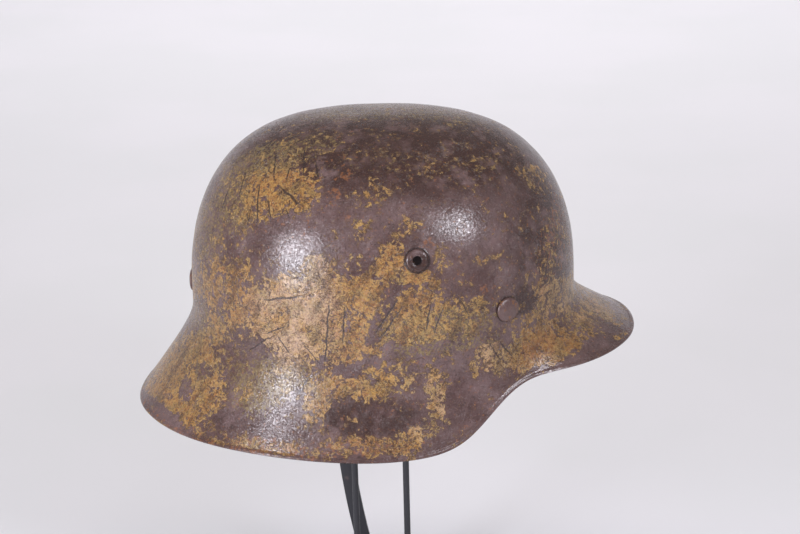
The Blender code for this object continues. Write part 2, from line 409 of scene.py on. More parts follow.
def wobble(points):
    """Slight unevenness of an old pressed and knocked shell."""
    lumps = (
        # size, height, seed
        (0.045, 0.00030, 3.1),
        (0.019, 0.00016, 7.7),
        (0.009, 0.00007, 12.4),
    )
    total = np.zeros(len(points))
    for size, height, seed in lumps:
        shift = Vector((seed, -seed, seed * 0.5))
        total += height * np.array([noise.noise(Vector(point) / size + shift) for point in points])
    return total


def stitch(fine, coarse):
    """Faces between two closed loops, the first with twice as many points as the second."""
    faces = []
    for k in range(len(coarse)):
        a, b, c = fine[2 * k], fine[2 * k + 1], fine[(2 * k + 2) % len(fine)]
        here, beside = coarse[k], coarse[(k + 1) % len(coarse)]
        faces += [(a, here, b), (b, here, beside), (b, beside, c)]
    return faces


def sheet_faces(index, hole_boxes, flip):
    """Faces of one side of the shell, leaving out the cells of each vent's hole."""
    bearings, rows = index.shape
    keep = np.ones((bearings, rows - 1), bool)
    for left, right, top, bottom in hole_boxes:
        keep[left:right, top:bottom] = False
    faces = []
    for i in range(bearings):
        here, beside = index[i], index[(i + 1) % bearings]
        for j in range(rows - 1):
            if not keep[i, j]:
                continue
            if j == 0:
                face = (here[0], here[1], beside[1])
            else:
                face = (here[j], here[j + 1], beside[j + 1], beside[j])
            faces.append(tuple(int(v) for v in (face[::-1] if flip else face)))
    return faces


def square_loop(index, box):
    """Points round a hole, once round its square of cells."""
    left, right, top, bottom = box
    loop = [index[i, top] for i in range(left, right)]
    loop += [index[right, j] for j in range(top, bottom)]
    loop += [index[i, bottom] for i in range(right, left, -1)]
    loop += [index[left, j] for j in range(bottom, top, -1)]
    return [int(v) for v in loop]


def make_shell_mesh():
    """Closed sheet: finely divided outside, coarser inside, rounded rim and open vents."""
    grid = ShellGrid()
    base = outside(grid.turns, grid.rows)
    out = outward(grid.turns, grid.rows)
    shape = base.shape[:2]
    base[:, 0] = base[0, 0]
    out[:, 0] = (0, 0, 1)

    # Distance of each point from the rim's edge, down its own line
    steps = np.linalg.norm(np.diff(base, axis=1), axis=2)
    to_rim = np.cumsum(steps[:, ::-1], axis=1)[:, ::-1]
    to_rim = np.concatenate([to_rim, np.zeros((shape[0], 1))], axis=1)

    uneven = wobble(base.reshape(-1, 3)).reshape(shape) * smooth(to_rim, 0.002, 0.02)
    lip = LIP_RISE * smooth(to_rim, LIP_WIDTH * 1.35, LIP_WIDTH * 0.7)
    lift = uneven - SHELL_SINK + lip
    ring = np.zeros(shape)
    boxes = []
    for middle, side in zip(grid.holes, (-1, 1)):
        place, axis = vent_axis(side)
        flat, distance, away = around_axis(base, place, axis)
        ring += np.where(away < VENT_RING, vent_height(distance), 0.0)
        boxes.append((middle[0] - HOLE_LINES, middle[0] + HOLE_LINES,
                      middle[1] - HOLE_LINES, middle[1] + HOLE_LINES))
        for i, j in hole_edge(boxes[-1]):
            base[i, j] += flat[i, j] * (VENT_HOLE / 2 / distance[i, j] - 1)

    outer = base + out * (lift + ring)[..., None]
    inner = (base + out * (lift - WALL)[..., None])[::2, ::2]
    edge = base[:, -1] + out[:, -1] * (lift[:, -1] - WALL / 2)[:, None]
    below = base[:, -1] - base[:, -2]
    below /= np.linalg.norm(below, axis=1)[:, None]
    outer[:, -1] -= below * RIM_ROUND
    inner[:, -1] -= below[::2] * RIM_ROUND

    outer_index = np.arange(outer[:, :, 0].size).reshape(shape)
    outer_index[:, 0] = outer_index[0, 0]
    inner_index = np.arange(inner[:, :, 0].size).reshape(inner.shape[:2]) + outer[:, :, 0].size
    inner_index[:, 0] = inner_index[0, 0]
    edge_start = outer[:, :, 0].size + inner[:, :, 0].size
    edge_index = np.arange(shape[0]) + edge_start
    points = np.concatenate([outer.reshape(-1, 3), inner.reshape(-1, 3), edge])
    half_boxes = [tuple(v // 2 for v in box) for box in boxes]

    faces = sheet_faces(outer_index, boxes, False)
    for i in range(shape[0]):
        after = (i + 1) % shape[0]
        faces.append((int(outer_index[i, -1]), int(edge_index[i]), int(edge_index[after]),
                      int(outer_index[after, -1])))
    faces += stitch([int(v) for v in edge_index], [int(v) for v in inner_index[:, -1]])
    painted_count = len(faces)
    faces += sheet_faces(inner_index, half_boxes, True)
    for box, half in zip(boxes, half_boxes):
        faces += stitch(square_loop(outer_index, box), square_loop(inner_index, half))

    mesh = bpy.data.meshes.new("painted_shell")
    mesh.from_pydata(points.tolist(), [], faces)
    kinds = np.zeros(len(faces), int)
    kinds[painted_count:] = 1
    mesh.polygons.foreach_set("material_index", kinds)
    work = bmesh.new()
    work.from_mesh(mesh)
    loose = [vert for vert in work.verts if not vert.link_faces]
    bmesh.ops.delete(work, geom=loose, context="VERTS")
    bmesh.ops.recalc_face_normals(work, faces=work.faces)
    work.to_mesh(mesh)
    work.free()
    mesh.shade_smooth()
    mesh.set_sharp_from_angle(angle=math.radians(55))
    return mesh


def hole_edge(box):
    """Grid places on the edge of a vent's hole."""
    left, right, top, bottom = box
    places = [(i, j) for i in range(left, right + 1) for j in (top, bottom)]
    places += [(i, j) for i in (left, right) for j in range(top + 1, bottom)]
    return places


def shell_axis(bearing, row):
    """Point on the shell's outside and the direction straight out of it."""
    place = outside([bearing], [row])[0]
    return place, outward(np.array([float(bearing)]), np.array([row]))[0]


def around_axis(points, place, axis):
    """Vectors straight out from an axis to points, their lengths, and the distances from its place."""
    offset = points - place
    flat = offset - (offset @ axis)[..., None] * axis
    return flat, np.linalg.norm(flat, axis=-1), np.linalg.norm(offset, axis=-1)


def vent_axis(side):
    return shell_axis(side * VENT_BEARING, row_at_level(VENT_BEARING, VENT_LEVEL))


# Pieces

def add_piece(name, data, node, slot, *finishes):
    made = bpy.data.objects.new(name, data)
    bpy.context.scene.collection.objects.link(made)
    for finish in finishes:
        data.materials.append(finish)
    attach(made, "root")
    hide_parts(node)


def smooth_mesh(shape, name, sharp):
    """Mesh from a bmesh, smooth apart from edges sharper than an angle in degrees."""
    bmesh.ops.recalc_face_normals(shape, faces=shape.faces)
    mesh = bpy.data.meshes.new(name)
    shape.to_mesh(mesh)
    shape.free()
    mesh.shade_smooth()
    mesh.set_sharp_from_angle(angle=math.radians(sharp))
    return mesh


def lathe(name, profile, sides, matrix):
    """Turned mesh from radius and height pairs, listed from the top down."""
    shape = bmesh.new()
    rings = []
    for radius, height in profile:
        if radius < 1e-7:
            rings.append([shape.verts.new((0, 0, height))] * sides)
        else:
            turns = [2 * math.pi * i / sides for i in range(sides)]
            rings.append([shape.verts.new((radius * math.cos(t), radius * math.sin(t), height))
                          for t in turns])
    for above, below in zip(rings, rings[1:]):
        for i in range(sides):
            after = (i + 1) % sides
            corners = [above[i], below[i], below[after], above[after]]
            kept = [corner for k, corner in enumerate(corners) if corner not in corners[:k]]
            if len(kept) > 2:
                shape.faces.new(kept)
    shape.transform(matrix)
    return smooth_mesh(shape, name, 40)


def round_corner(radius, height, size, start, stop, steps=5):
    """Points of a quarter-round edge about a middle, between two angles in degrees."""
    turns = [math.radians(start + (stop - start) * i / steps) for i in range(steps + 1)]
    return [(radius + size * math.cos(t), height + size * math.sin(t)) for t in turns]


def plate_profile(radius, bottom, top, edge):
    """Flat round plate with rounded edges."""
    points = [(0.0, top), (radius * 0.5, top)]
    points += round_corner(radius - edge, top - edge, edge, 90, 0)
    points += round_corner(radius - edge, bottom + edge, edge, 0, -90)
    return points + [(radius * 0.5, bottom), (0.0, bottom)]


def make_rivet(name, bearing, level, finish):
    """Domed head with small dents, its shank through the wall and its clinched end inside."""
    place, axis = (Vector(part) for part in shell_axis(bearing, row_at_level(bearing, level)))
    head, shank, clinch = RIVET_HEAD / 2, RIVET_SHANK / 2, RIVET_CLINCH / 2
    profile = []
    for i in range(RIVET_STEPS + 1):
        turn = math.radians(90 * i / RIVET_STEPS)
        dome = RIVET_BRIM + (1 - RIVET_BRIM) * math.cos(turn) ** RIVET_FULLNESS
        profile.append((head * math.sin(turn), RIVET_DOME * dome))
    profile += round_corner(head - RIVET_EDGE, RIVET_EDGE, RIVET_EDGE, 0, -90, 3)
    grip = CLEARANCE * 2 + WALL + clinch ** 2 / CROWN_WIDTH
    end = -grip - CLINCH_THICKNESS
    profile += [(shank, 0.0), (shank, -grip)]
    profile += round_corner(clinch - RIVET_EDGE, -grip - RIVET_EDGE, RIVET_EDGE, 90, 0, 3)
    profile += round_corner(clinch - RIVET_EDGE, end + RIVET_EDGE, RIVET_EDGE, 0, -90, 3)
    profile.append((0.0, end))
    lean = axis.to_track_quat("Z", "Y").to_matrix().to_4x4()
    mesh = lathe(name, profile, RIVET_SIDES, Matrix.Translation(place + axis * CLEARANCE * 0.5) @ lean)
    for vert in mesh.vertices:
        outward_share = max(0.0, (vert.co - place).dot(axis) / RIVET_DOME)
        vert.co += axis * (noise.noise(vert.co / DENT_SIZE) * DENT_DEPTH * outward_share)
    add_piece(f"{name}_head", mesh, name, "rivet_paint", finish)


def make_rod(name, finish):
    low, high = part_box(name)
    middle = (low + high) / 2
    radius, tall = (high.x - low.x) / 2, high.z - low.z - 2 * ROD_EDGE
    profile = plate_profile(radius, low.z, high.z, ROD_EDGE)
    rings = [(radius, low.z + ROD_EDGE + tall * i / ROD_RINGS) for i in range(ROD_RINGS - 1, 0, -1)]
    half = len(profile) // 2
    mesh = lathe(name, profile[:half] + rings + profile[half:], ROD_SIDES,
                 Matrix.Translation((middle.x, middle.y, 0)))
    add_piece(f"{name}_finished", mesh, name, "stand_metal", finish)


def make_disc(name, finish, sides):
    low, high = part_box(name)
    middle = (low + high) / 2
    profile = plate_profile((high.x - low.x) / 2, low.z, high.z, BASE_CHAMFER)
    mesh = lathe(name, profile, sides, Matrix.Translation((middle.x, middle.y, 0)))
    add_piece(f"{name}_finished", mesh, name, "stand_metal", finish)


def make_strut(finish):
    """Bowed flat bar with rounded edges, in the space of its solid."""
    low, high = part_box("stand_strut")
    foot, head = Vector((STRUT_FOOT, 0, low.z)), Vector((STRUT_TOP, 0, high.z))
    low_pull, high_pull = (Vector((STRUT_BOW * bow, 0, low.z + rise * (high.z - low.z)))
                           for bow, rise in STRUT_PULLS)
    middle = interpolate_bezier(foot, low_pull, high_pull, head, STRUT_STEPS + 1)
    thick, centre = (high.y - low.y) / 2, (high.y + low.y) / 2
    section = []
    for corner_x, corner_y, start in ((1, 1, 0), (-1, 1, 90), (-1, -1, 180), (1, -1, 270)):
        for i in range(CORNER_STEPS + 1):
            turn = math.radians(start + 90 * i / CORNER_STEPS)
            section.append((corner_x, corner_y, math.cos(turn), math.sin(turn)))
    shape = bmesh.new()
    rings = []
    for i, point in enumerate(middle):
        run = middle[min(i + 1, STRUT_STEPS)] - middle[max(i - 1, 0)]
        half = STRUT_WIDTH / 2 * run.length / run.z
        ring = []
        for corner_x, corner_y, along, aside in section:
            x = point.x + corner_x * (half - STRUT_EDGE) + along * STRUT_EDGE
            y = centre + corner_y * (thick - STRUT_EDGE) + aside * STRUT_EDGE
            ring.append(shape.verts.new((x, y, point.z)))
        rings.append(ring)
    for above, below in zip(rings, rings[1:]):
        for i in range(len(section)):
            after = (i + 1) % len(section)
            shape.faces.new((above[i], above[after], below[after], below[i]))
    shape.faces.new(rings[0])
    shape.faces.new(rings[-1])
    mesh = smooth_mesh(shape, "stand_strut_finished", 50)
    add_piece("stand_strut_finished", mesh, "stand_strut", "stand_metal", finish)


# Patches of paint, with painted shade and painted highlight among them, painted on the shell's points one
# over the other

PATCH_FULL = 0.6           # a patch is full within this share of its half sizes
PATCH_END = 1.35           # and gone beyond this share
OVERLAP = 0.02             # how far each side's patches run past the middle
SQUARELY = (0.02, 0.22)    # how squarely a place faces the camera where patches start and are full
VENT_BARE = {"sand": -0.3, "brown_and_shade": 1.4}
CREVICE_SHADE_WIDTH = 0.0008           # width of the painted shade line round a vent or a rivet

GENERAL = {"sand": 0.14, "olive": 0.12, "rust": 0.1, "pale_sand_and_highlight": 0.05, "warm": 0.4, "brown_and_shade": 0.4}

NEAR_PATCHES = (
    # layer, across and down in pixels, half width, half height, tilt in degrees, density
    # Crown above the vent, darkened with brown paint and painted shade
    ("sand", 400, 180, 200, 100, 0, 0.02),
    ("olive", 400, 180, 200, 100, 0, 0.06),
    ("sand", 400, 160, 110, 12, 0, 0.07),
    ("olive", 410, 163, 110, 13, -2, 0.32),
    ("olive", 400, 116, 110, 14, 0, 0.24),
    # Brown over the crown, partly painted shade
    ("brown_and_shade", 400, 150, 180, 44, 0, 1.1),
    ("brown_and_shade", 550, 220, 34, 80, 10, 1.0),
    # Upper left patch and the olive streaks beside it
    ("sand", 300, 150, 50, 14, -14, 0.26),
    ("olive", 300, 150, 50, 14, -14, 0.6),
    ("sand", 232, 192, 26, 34, -35, 0.40),
    ("sand", 276, 194, 42, 28, -6, 0.84),
    ("sand", 288, 190, 32, 20, -8, 1.0),
    ("olive", 226, 196, 26, 40, -30, 0.8),
    ("olive", 262, 160, 40, 16, -20, 0.8),
    ("sand", 252, 222, 16, 14, 0, 0.58),
    ("sand", 200, 200, 12, 44, 22, 0.0),
    ("olive", 200, 200, 12, 44, 22, 0.1),
    # Rear wall
    ("sand", 206, 236, 12, 36, 10, 0.28),
    ("olive", 208, 226, 16, 40, 10, 0.7),
    # Bare paint of the left highlight
    ("sand", 292, 240, 42, 26, 0, -0.15),
    ("sand", 338, 225, 22, 34, 0, 0.02),
    ("sand", 371, 196, 26, 13, -10, 0.50),
    ("sand", 362, 230, 12, 13, 0, 0.50),
    ("sand", 401, 226, 10, 16, 0, 0.46),
    ("sand", 434, 166, 30, 9, -6, 0.24),
    ("sand", 482, 161, 18, 8, 6, 0.30),
    ("sand", 533, 178, 18, 12, 45, 0.52),
    ("sand", 553, 246, 14, 44, 8, 0.26),
    ("rust", 552, 240, 18, 50, 8, 0.42),
    ("sand", 488, 209, 6, 5, 0, 0.6),
    ("sand", 491, 234, 6, 6, 0, 0.6),
    ("sand", 480, 260, 10, 5, 0, 0.6),
    ("sand", 466, 281, 9, 7, 0, 0.62),
    ("rust", 346, 174, 9, 6, 0, 0.75),
    ("rust", 334, 196, 7, 10, 0, 0.70),
    ("rust", 346, 214, 5, 5, 0, 0.75),
    ("rust", 429, 243, 6, 5, 0, 0.80),
    ("rust", 487, 289, 8, 5, 0, 0.75),
    # Band of worn sand paint above the flare
    ("sand", 226, 298, 34, 42, 4, 0.66),
    ("warm", 222, 292, 36, 44, 4, 1.0),
    ("sand", 292, 318, 50, 50, 0, 0.86),
    ("sand", 300, 320, 36, 34, 0, 1.1),
    # Pale sand, brighter here as a painted highlight where the wall turns out
    ("pale_sand_and_highlight", 294, 318, 44, 54, 0, 1.1),
    ("warm", 300, 320, 44, 50, 0, 0.1),
    ("sand", 356, 316, 40, 48, 0, 0.94),
    ("warm", 356, 316, 40, 48, 0, 0.3),
    ("sand", 316, 266, 14, 14, 0, 0.85),
    ("pale_sand_and_highlight", 316, 266, 14, 14, 0, 0.9),
    ("sand", 352, 266, 22, 12, 0, 0.34),
    ("sand", 396, 264, 20, 22, 25, 0.90),
    ("sand", 422, 278, 28, 10, 4, 0.92),
    ("sand", 441, 262, 9, 24, 0, 0.46),
    ("sand", 405, 292, 26, 7, -10, 0.12),
    ("sand", 420, 318, 34, 28, -12, 0.90),
    ("warm", 420, 318, 50, 34, -12, 0.2),
    ("sand", 470, 316, 28, 20, -10, 0.62),
    ("olive", 440, 328, 60, 22, -8, 0.8),
    ("sand", 384, 312, 9, 36, 24, 0.1),
    ("sand", 440, 351, 66, 8, -7, 0.1),
    ("olive", 440, 346, 66, 9, -7, 0.7),
    # Lower fringe of the band
    ("sand", 366, 378, 44, 24, -4, 0.92),
    ("sand", 350, 371, 14, 6, 4, -0.2),
    ("sand", 371, 361, 10, 6, 0, 0.0),
    ("sand", 392, 350, 9, 5, 0, -0.1),
    ("sand", 400, 376, 14, 20, -20, 0.5),
    ("sand", 314, 404, 14, 26, 6, 0.74),
    ("sand", 296, 370, 26, 14, 10, 0.55),
    ("olive", 290, 374, 34, 14, 10, 0.7),
    ("sand", 290, 414, 12, 24, 0, 0.0),
    # Neck guard
    ("sand", 186, 388, 42, 54, 35, 0.88),
    ("sand", 206, 340, 22, 12, -45, 0.74),
    ("warm", 176, 398, 50, 50, 35, 0.55),
    ("olive", 196, 360, 28, 36, 35, 0.6),
    ("sand", 186, 390, 7, 12, 10, 0.05),
    ("sand", 204, 372, 9, 9, 0, 0.2),
    ("sand", 198, 312, 10, 18, 0, 0.15),
    ("olive", 198, 312, 12, 20, 0, 0.7),
    ("sand", 246, 360, 30, 28, 20, 0.16),
    ("olive", 246, 360, 30, 28, 20, 0.4),
    ("sand", 262, 394, 34, 18, -30, 0.40),
    ("olive", 262, 386, 36, 28, -25, 0.9),
    ("sand", 268, 420, 38, 16, 10, -0.1),
    ("sand", 226, 420, 11, 10, 0, -0.4),
    ("brown_and_shade", 226, 420, 12, 12, 0, 1.0),
    # Dark lower skirt
    ("sand", 374, 424, 50, 16, 0, -0.1),
    ("brown_and_shade", 370, 420, 56, 22, 0, 1.0),
    ("sand", 352, 421, 6, 5, 0, 0.6),
    ("sand", 436, 384, 13, 15, 10, 0.86),
    ("sand", 438, 408, 11, 12, 0, 0.76),
    ("sand", 424, 432, 26, 9, -14, 0.74),
    ("pale_sand_and_highlight", 430, 404, 26, 34, 0, 0.9),
    ("warm", 430, 404, 26, 34, 0, 0.1),
    ("sand", 484, 404, 36, 32, 30, -0.2),
    ("sand", 490, 397, 4, 5, 0, 0.6),
    # Rim
    ("sand", 160, 412, 40, 8, 40, -0.1),
    ("sand", 270, 446, 56, 7, 8, 0.62),
    ("rust", 270, 448, 60, 9, 8, 0.68),
    ("warm", 300, 446, 150, 16, 6, 1.0),
    ("sand", 372, 446, 50, 11, 0, 0.70),
    ("rust", 366, 447, 54, 9, 0, 0.66),
    # Right side and visor
    ("sand", 494, 358, 15, 18, 15, 0.78),
    ("pale_sand_and_highlight", 492, 360, 18, 22, 15, 0.8),
    ("sand", 476, 366, 8, 14, 10, 0.5),
    ("sand", 508, 328, 26, 10, -8, 0.42),
    ("sand", 554, 312, 26, 40, -20, 0.66),
    ("pale_sand_and_highlight", 560, 300, 30, 36, -20, 0.4),
    ("sand", 546, 346, 42, 20, -22, 1.0),
    ("warm", 548, 344, 44, 24, -22, 1.0),
    ("sand", 584, 312, 32, 24, -6, 0.56),
    ("olive", 588, 308, 36, 24, -10, 0.5),
    ("pale_sand_and_highlight", 590, 306, 36, 22, -10, 0.5),
    ("sand", 524, 302, 11, 16, 10, 0.0),
    ("brown_and_shade", 524, 302, 12, 18, 10, 1.2),
    ("sand", 612, 324, 16, 16, 20, 0.30),
    ("sand", 608, 298, 26, 9, 25, 0.0),
    ("olive", 608, 298, 26, 9, 25, 0.1),
    ("sand", 606, 344, 34, 11, -32, -0.2),
    ("sand", 578, 364, 34, 7, -18, -0.1),
    ("sand", 620, 336, 8, 4, -25, 0.7),
    # Right highlight
    ("sand", 462, 226, 34, 28, 0, -0.15),
    ("olive", 462, 226, 34, 28, 0, 0.0),
)

FAR_PATCHES = (
    # The same columns, as if the photograph were of the other side and turned left for right
    ("sand", 400, 180, 200, 100, 0, 0.06),
    ("olive", 410, 150, 150, 50, 0, 0.4),
    ("olive", 400, 112, 120, 16, 0, 0.7),
    # Brown over the crown, partly painted shade
    ("brown_and_shade", 420, 160, 170, 50, 0, 0.9),
    ("sand", 330, 180, 60, 28, 12, 0.66),
    ("sand", 350, 186, 30, 18, 12, 0.95),
    ("sand", 500, 200, 38, 30, 20, 0.52),
    ("sand", 240, 296, 60, 44, 0, 0.72),
    ("warm", 240, 296, 60, 50, 0, 0.9),
    ("sand", 330, 324, 66, 40, -6, 0.92),
    ("sand", 450, 316, 60, 30, -8, 0.74),
    ("sand", 404, 304, 10, 40, -20, -0.1),
    ("sand", 424, 272, 34, 14, 0, 0.80),
    ("pale_sand_and_highlight", 340, 330, 50, 34, 0, 0.6),
    ("olive", 450, 330, 70, 26, 0, 0.7),
    ("sand", 250, 370, 40, 30, 20, 0.0),
    ("sand", 186, 390, 44, 50, 35, 0.80),
    ("sand", 330, 392, 56, 22, 0, 0.66),
    ("sand", 350, 372, 16, 7, 0, -0.1),
    ("brown_and_shade", 400, 420, 80, 24, 0, 0.9),
    ("sand", 410, 424, 70, 18, 0, 0.04),
    ("sand", 476, 392, 22, 14, 0, 0.7),
    ("warm", 330, 446, 130, 14, 4, 1.0),
    ("rust", 300, 446, 70, 9, 4, 0.45),
    ("sand", 330, 446, 130, 9, 4, 0.6),
    ("sand", 556, 330, 50, 34, -25, 0.84),
    ("warm", 548, 340, 40, 24, -25, 0.7),
    ("sand", 604, 342, 34, 12, -30, -0.1),
    ("sand", 604, 308, 28, 18, 10, 0.05),
)

MIDDLE_PATCHES = (
    # layer, bearing, level in shares of the height, half width in degrees, half height, density
    ("sand", 0, 0.98, 180, 0.12, 0.22),
    ("olive", 0, 0.98, 180, 0.12, 0.6),
    ("sand", 0, 0.80, 50, 0.14, 0.40),
    ("sand", 10, 0.55, 30, 0.14, 0.15),
    ("sand", -14, 0.38, 28, 0.09, 0.78),
    ("sand", 20, 0.34, 28, 0.08, 0.10),
    ("sand", 0, 0.245, 60, 0.025, 0.05),
    ("sand", 180, 0.66, 34, 0.15, 0.36),
    ("sand", 172, 0.42, 30, 0.11, 0.74),
    ("sand", 200, 0.30, 22, 0.09, 0.25),
    ("sand", 176, 0.12, 34, 0.09, 0.74),
    ("olive", 180, 0.75, 60, 0.20, 0.7),
    ("olive", 0, 0.75, 60, 0.20, 0.6),
    ("olive", 20, 0.34, 28, 0.08, 0.1),
    ("warm", 180, 0.40, 50, 0.20, 0.8),
    ("warm", 0, 0.40, 50, 0.16, 0.6),
    ("rust", 180, 0.01, 60, 0.03, 0.4),
)


def brush(across, down, patch):
    """How strongly an oval patch reaches each place: 1 in its middle, 0 outside."""
    _, middle_x, middle_y, half_x, half_y, tilt, _ = patch
    turn = math.radians(tilt)
    x, y = across - middle_x, down - middle_y
    along = (x * math.cos(turn) + y * math.sin(turn)) / half_x
    aside = (y * math.cos(turn) - x * math.sin(turn)) / half_y
    return smooth(np.hypot(along, aside), PATCH_END, PATCH_FULL)


def paint_densities(points, normals):
    """Each layer's density at every point of the shell."""
    bearing = np.degrees(np.arctan2(points[:, 1], points[:, 0]))
    level = (points[:, 2] - RIM_HEIGHT) / HELMET_HEIGHT
    layers = {layer: np.full(len(points), density) for layer, density in GENERAL.items()}
    for layer, turn, height, half_turn, half_height, density in MIDDLE_PATCHES:
        gap = (bearing - turn + 180) % 360 - 180
        away = np.hypot(gap / half_turn, (level - height) / half_height)
        share = smooth(away, PATCH_END, PATCH_FULL)
        layers[layer] += (density - layers[layer]) * share
    flip = np.array((1.0, -1.0, 1.0))
    across, down, facing = photo_place(points, normals)
    far_across, far_down, far_facing = photo_place(points * flip, normals * flip)
    sides = (
        (NEAR_PATCHES, across, down, facing, points[:, 1] < OVERLAP),
        (FAR_PATCHES, IMAGE_WIDTH - far_across, far_down, far_facing, points[:, 1] > -OVERLAP),
    )
    for patches, x, y, squarely, own in sides:
        reach = smooth(squarely, *SQUARELY) * own
        painted = {layer: values.copy() for layer, values in layers.items()}
        for patch in patches:
            layer, density = patch[0], patch[-1]
            painted[layer] += (density - painted[layer]) * brush(x, y, patch)
        for layer in layers:
            layers[layer] += (painted[layer] - layers[layer]) * reach
    # Painted shade: a dark line in the crease round each vent's ring and round each rivet head
    layers["crevice_shade"] = np.zeros(len(points))
    for side in (-1, 1):
        _, distance, away = around_axis(points, *vent_axis(side))
        past = np.where(away < VENT_RING, distance, 1.0) - VENT_RING / 2
        bare = smooth(past, 0.0006, -0.0004)
        for layer, density in VENT_BARE.items():
            layers[layer] += (density - layers[layer]) * bare
        layers["crevice_shade"] += smooth(abs(past - 0.0001), CREVICE_SHADE_WIDTH, 0.0002)
    for _, turn, height in RIVETS:
        _, distance, away = around_axis(points, *shell_axis(turn, row_at_level(turn, height)))
        past = distance - RIVET_HEAD / 2
        layers["crevice_shade"] += smooth(past, CREVICE_SHADE_WIDTH + 0.0001, 0.0002) * (away < RIVET_HEAD)
    return layers


SCRATCHES = (
    # from across, down to across, down in pixels, width in metres
    (306, 146, 303, 178, 0.0012),
    (277, 150, 274, 181, 0.0011),
    (279, 186, 301, 206, 0.0021),
    (262, 176, 257, 232, 0.0012),
    (247, 170, 239, 198, 0.0010),
    (291, 164, 286, 183, 0.0009),
    (316, 160, 319, 182, 0.0010),
    (268, 198, 271, 222, 0.0009),
    (232, 182, 221, 212, 0.0010),
    (252, 204, 247, 228, 0.0008),
    (286, 208, 290, 220, 0.0008),
    (262, 300, 306, 296, 0.0012),
    (262, 334, 288, 326, 0.0010),
    (246, 352, 276, 334, 0.0010),
    (330, 296, 324, 372, 0.0012),
    (346, 300, 342, 350, 0.0010),
    (276, 334, 292, 356, 0.0010),
    (300, 340, 322, 366, 0.0008),
    (312, 372, 296, 398, 0.0010),
    (432, 300, 426, 332, 0.0010),
    (444, 304, 432, 338, 0.0008),
    (458, 296, 470, 318, 0.0008),
    (488, 342, 502, 362, 0.0008),
    (498, 340, 514, 358, 0.0008),
    (372, 338, 400, 296, 0.0012),
    (378, 342, 404, 304, 0.0010),
)
SCRATCH_DEPTH = 0.006      # how far a surface may lie from a scratch's straight line
SCRATCH_APART = 0.0075     # between two scratches of one set
SCRATCH_POINTS = 25        # tried along each scratch
SCRATCH_MARGINS = (0.004, 0.0032)    # stored past its ends and to its sides
FAR_AWAY = 20.0            # place stored where no scratch is near


def photo_ray(across, down):
    """Camera's place and the direction of one pixel of the photograph."""
    right, up, back = camera_axes()
    x, y = (across - IMAGE_WIDTH / 2) / FOCAL, (IMAGE_HEIGHT / 2 - down) / FOCAL
    direction = right * x + up * y - back
    return Vector(CAMERA_AIM) + back * CAMERA_DISTANCE, direction.normalized()


def place_scratches(tree):
    """Start, end, outward direction and width of each scratch, some with a copy on the far side."""
    placed = []
    for number, (start_x, start_y, end_x, end_y, width) in enumerate(SCRATCHES):
        start, normal = tree.ray_cast(*photo_ray(start_x, start_y))[:2]
        end = tree.ray_cast(*photo_ray(end_x, end_y))[0]
        for side in (1, -1) if number % 2 else (1,):
            flip = Vector((1, side, 1))
            placed.append((*(np.array(part * flip) for part in (start, end, normal)), width))
    return placed


def sort_scratches(placed):
    """Sets in which every two scratches are well apart."""
    shares = np.linspace(0, 1, SCRATCH_POINTS)[:, None]
    sets = []
    for scratch in placed:
        path = scratch[0] * (1 - shares) + scratch[1] * shares
        for group in sets:
            apart = [np.linalg.norm(path[:, None] - other[None], axis=2).min() for _, other in group]
            if min(apart) > SCRATCH_APART:
                group.append((scratch, path))
                break
        else:
            sets.append([(scratch, path)])
    return [[scratch for scratch, _ in group] for group in sets]


def store_scratches(mesh, points, sets):
    """Each point's place along and across the nearest scratch of a set, 1 at its end or edge."""
    beyond, beside = SCRATCH_MARGINS
    for number, group in enumerate(sets):
        places = np.full((len(points), 3), FAR_AWAY)
        for start, end, normal, width in group:
            length = np.linalg.norm(end - start)
            along = (end - start) / length
            across = np.cross(normal, along)
            across /= np.linalg.norm(across)
            away = points - (start + end) / 2
            x, y = away @ along, away @ across
            z = away - x[:, None] * along - y[:, None] * across
            close = (abs(x) < length / 2 + beyond) & (abs(y) < beside)
            close &= np.linalg.norm(z, axis=1) < SCRATCH_DEPTH
            places[close] = np.stack([x / (length / 2), y / (width / 2), y * 0], axis=1)[close]
        attribute = mesh.attributes.new(f"scratch_set_{number}", "FLOAT_VECTOR", "POINT")
        attribute.data.foreach_set("vector", places.astype(np.float32).ravel())


def store(mesh, name, values):
    attribute = mesh.attributes.new(name, "FLOAT", "POINT")
    attribute.data.foreach_set("value", values.astype(np.float32))


# Shader building

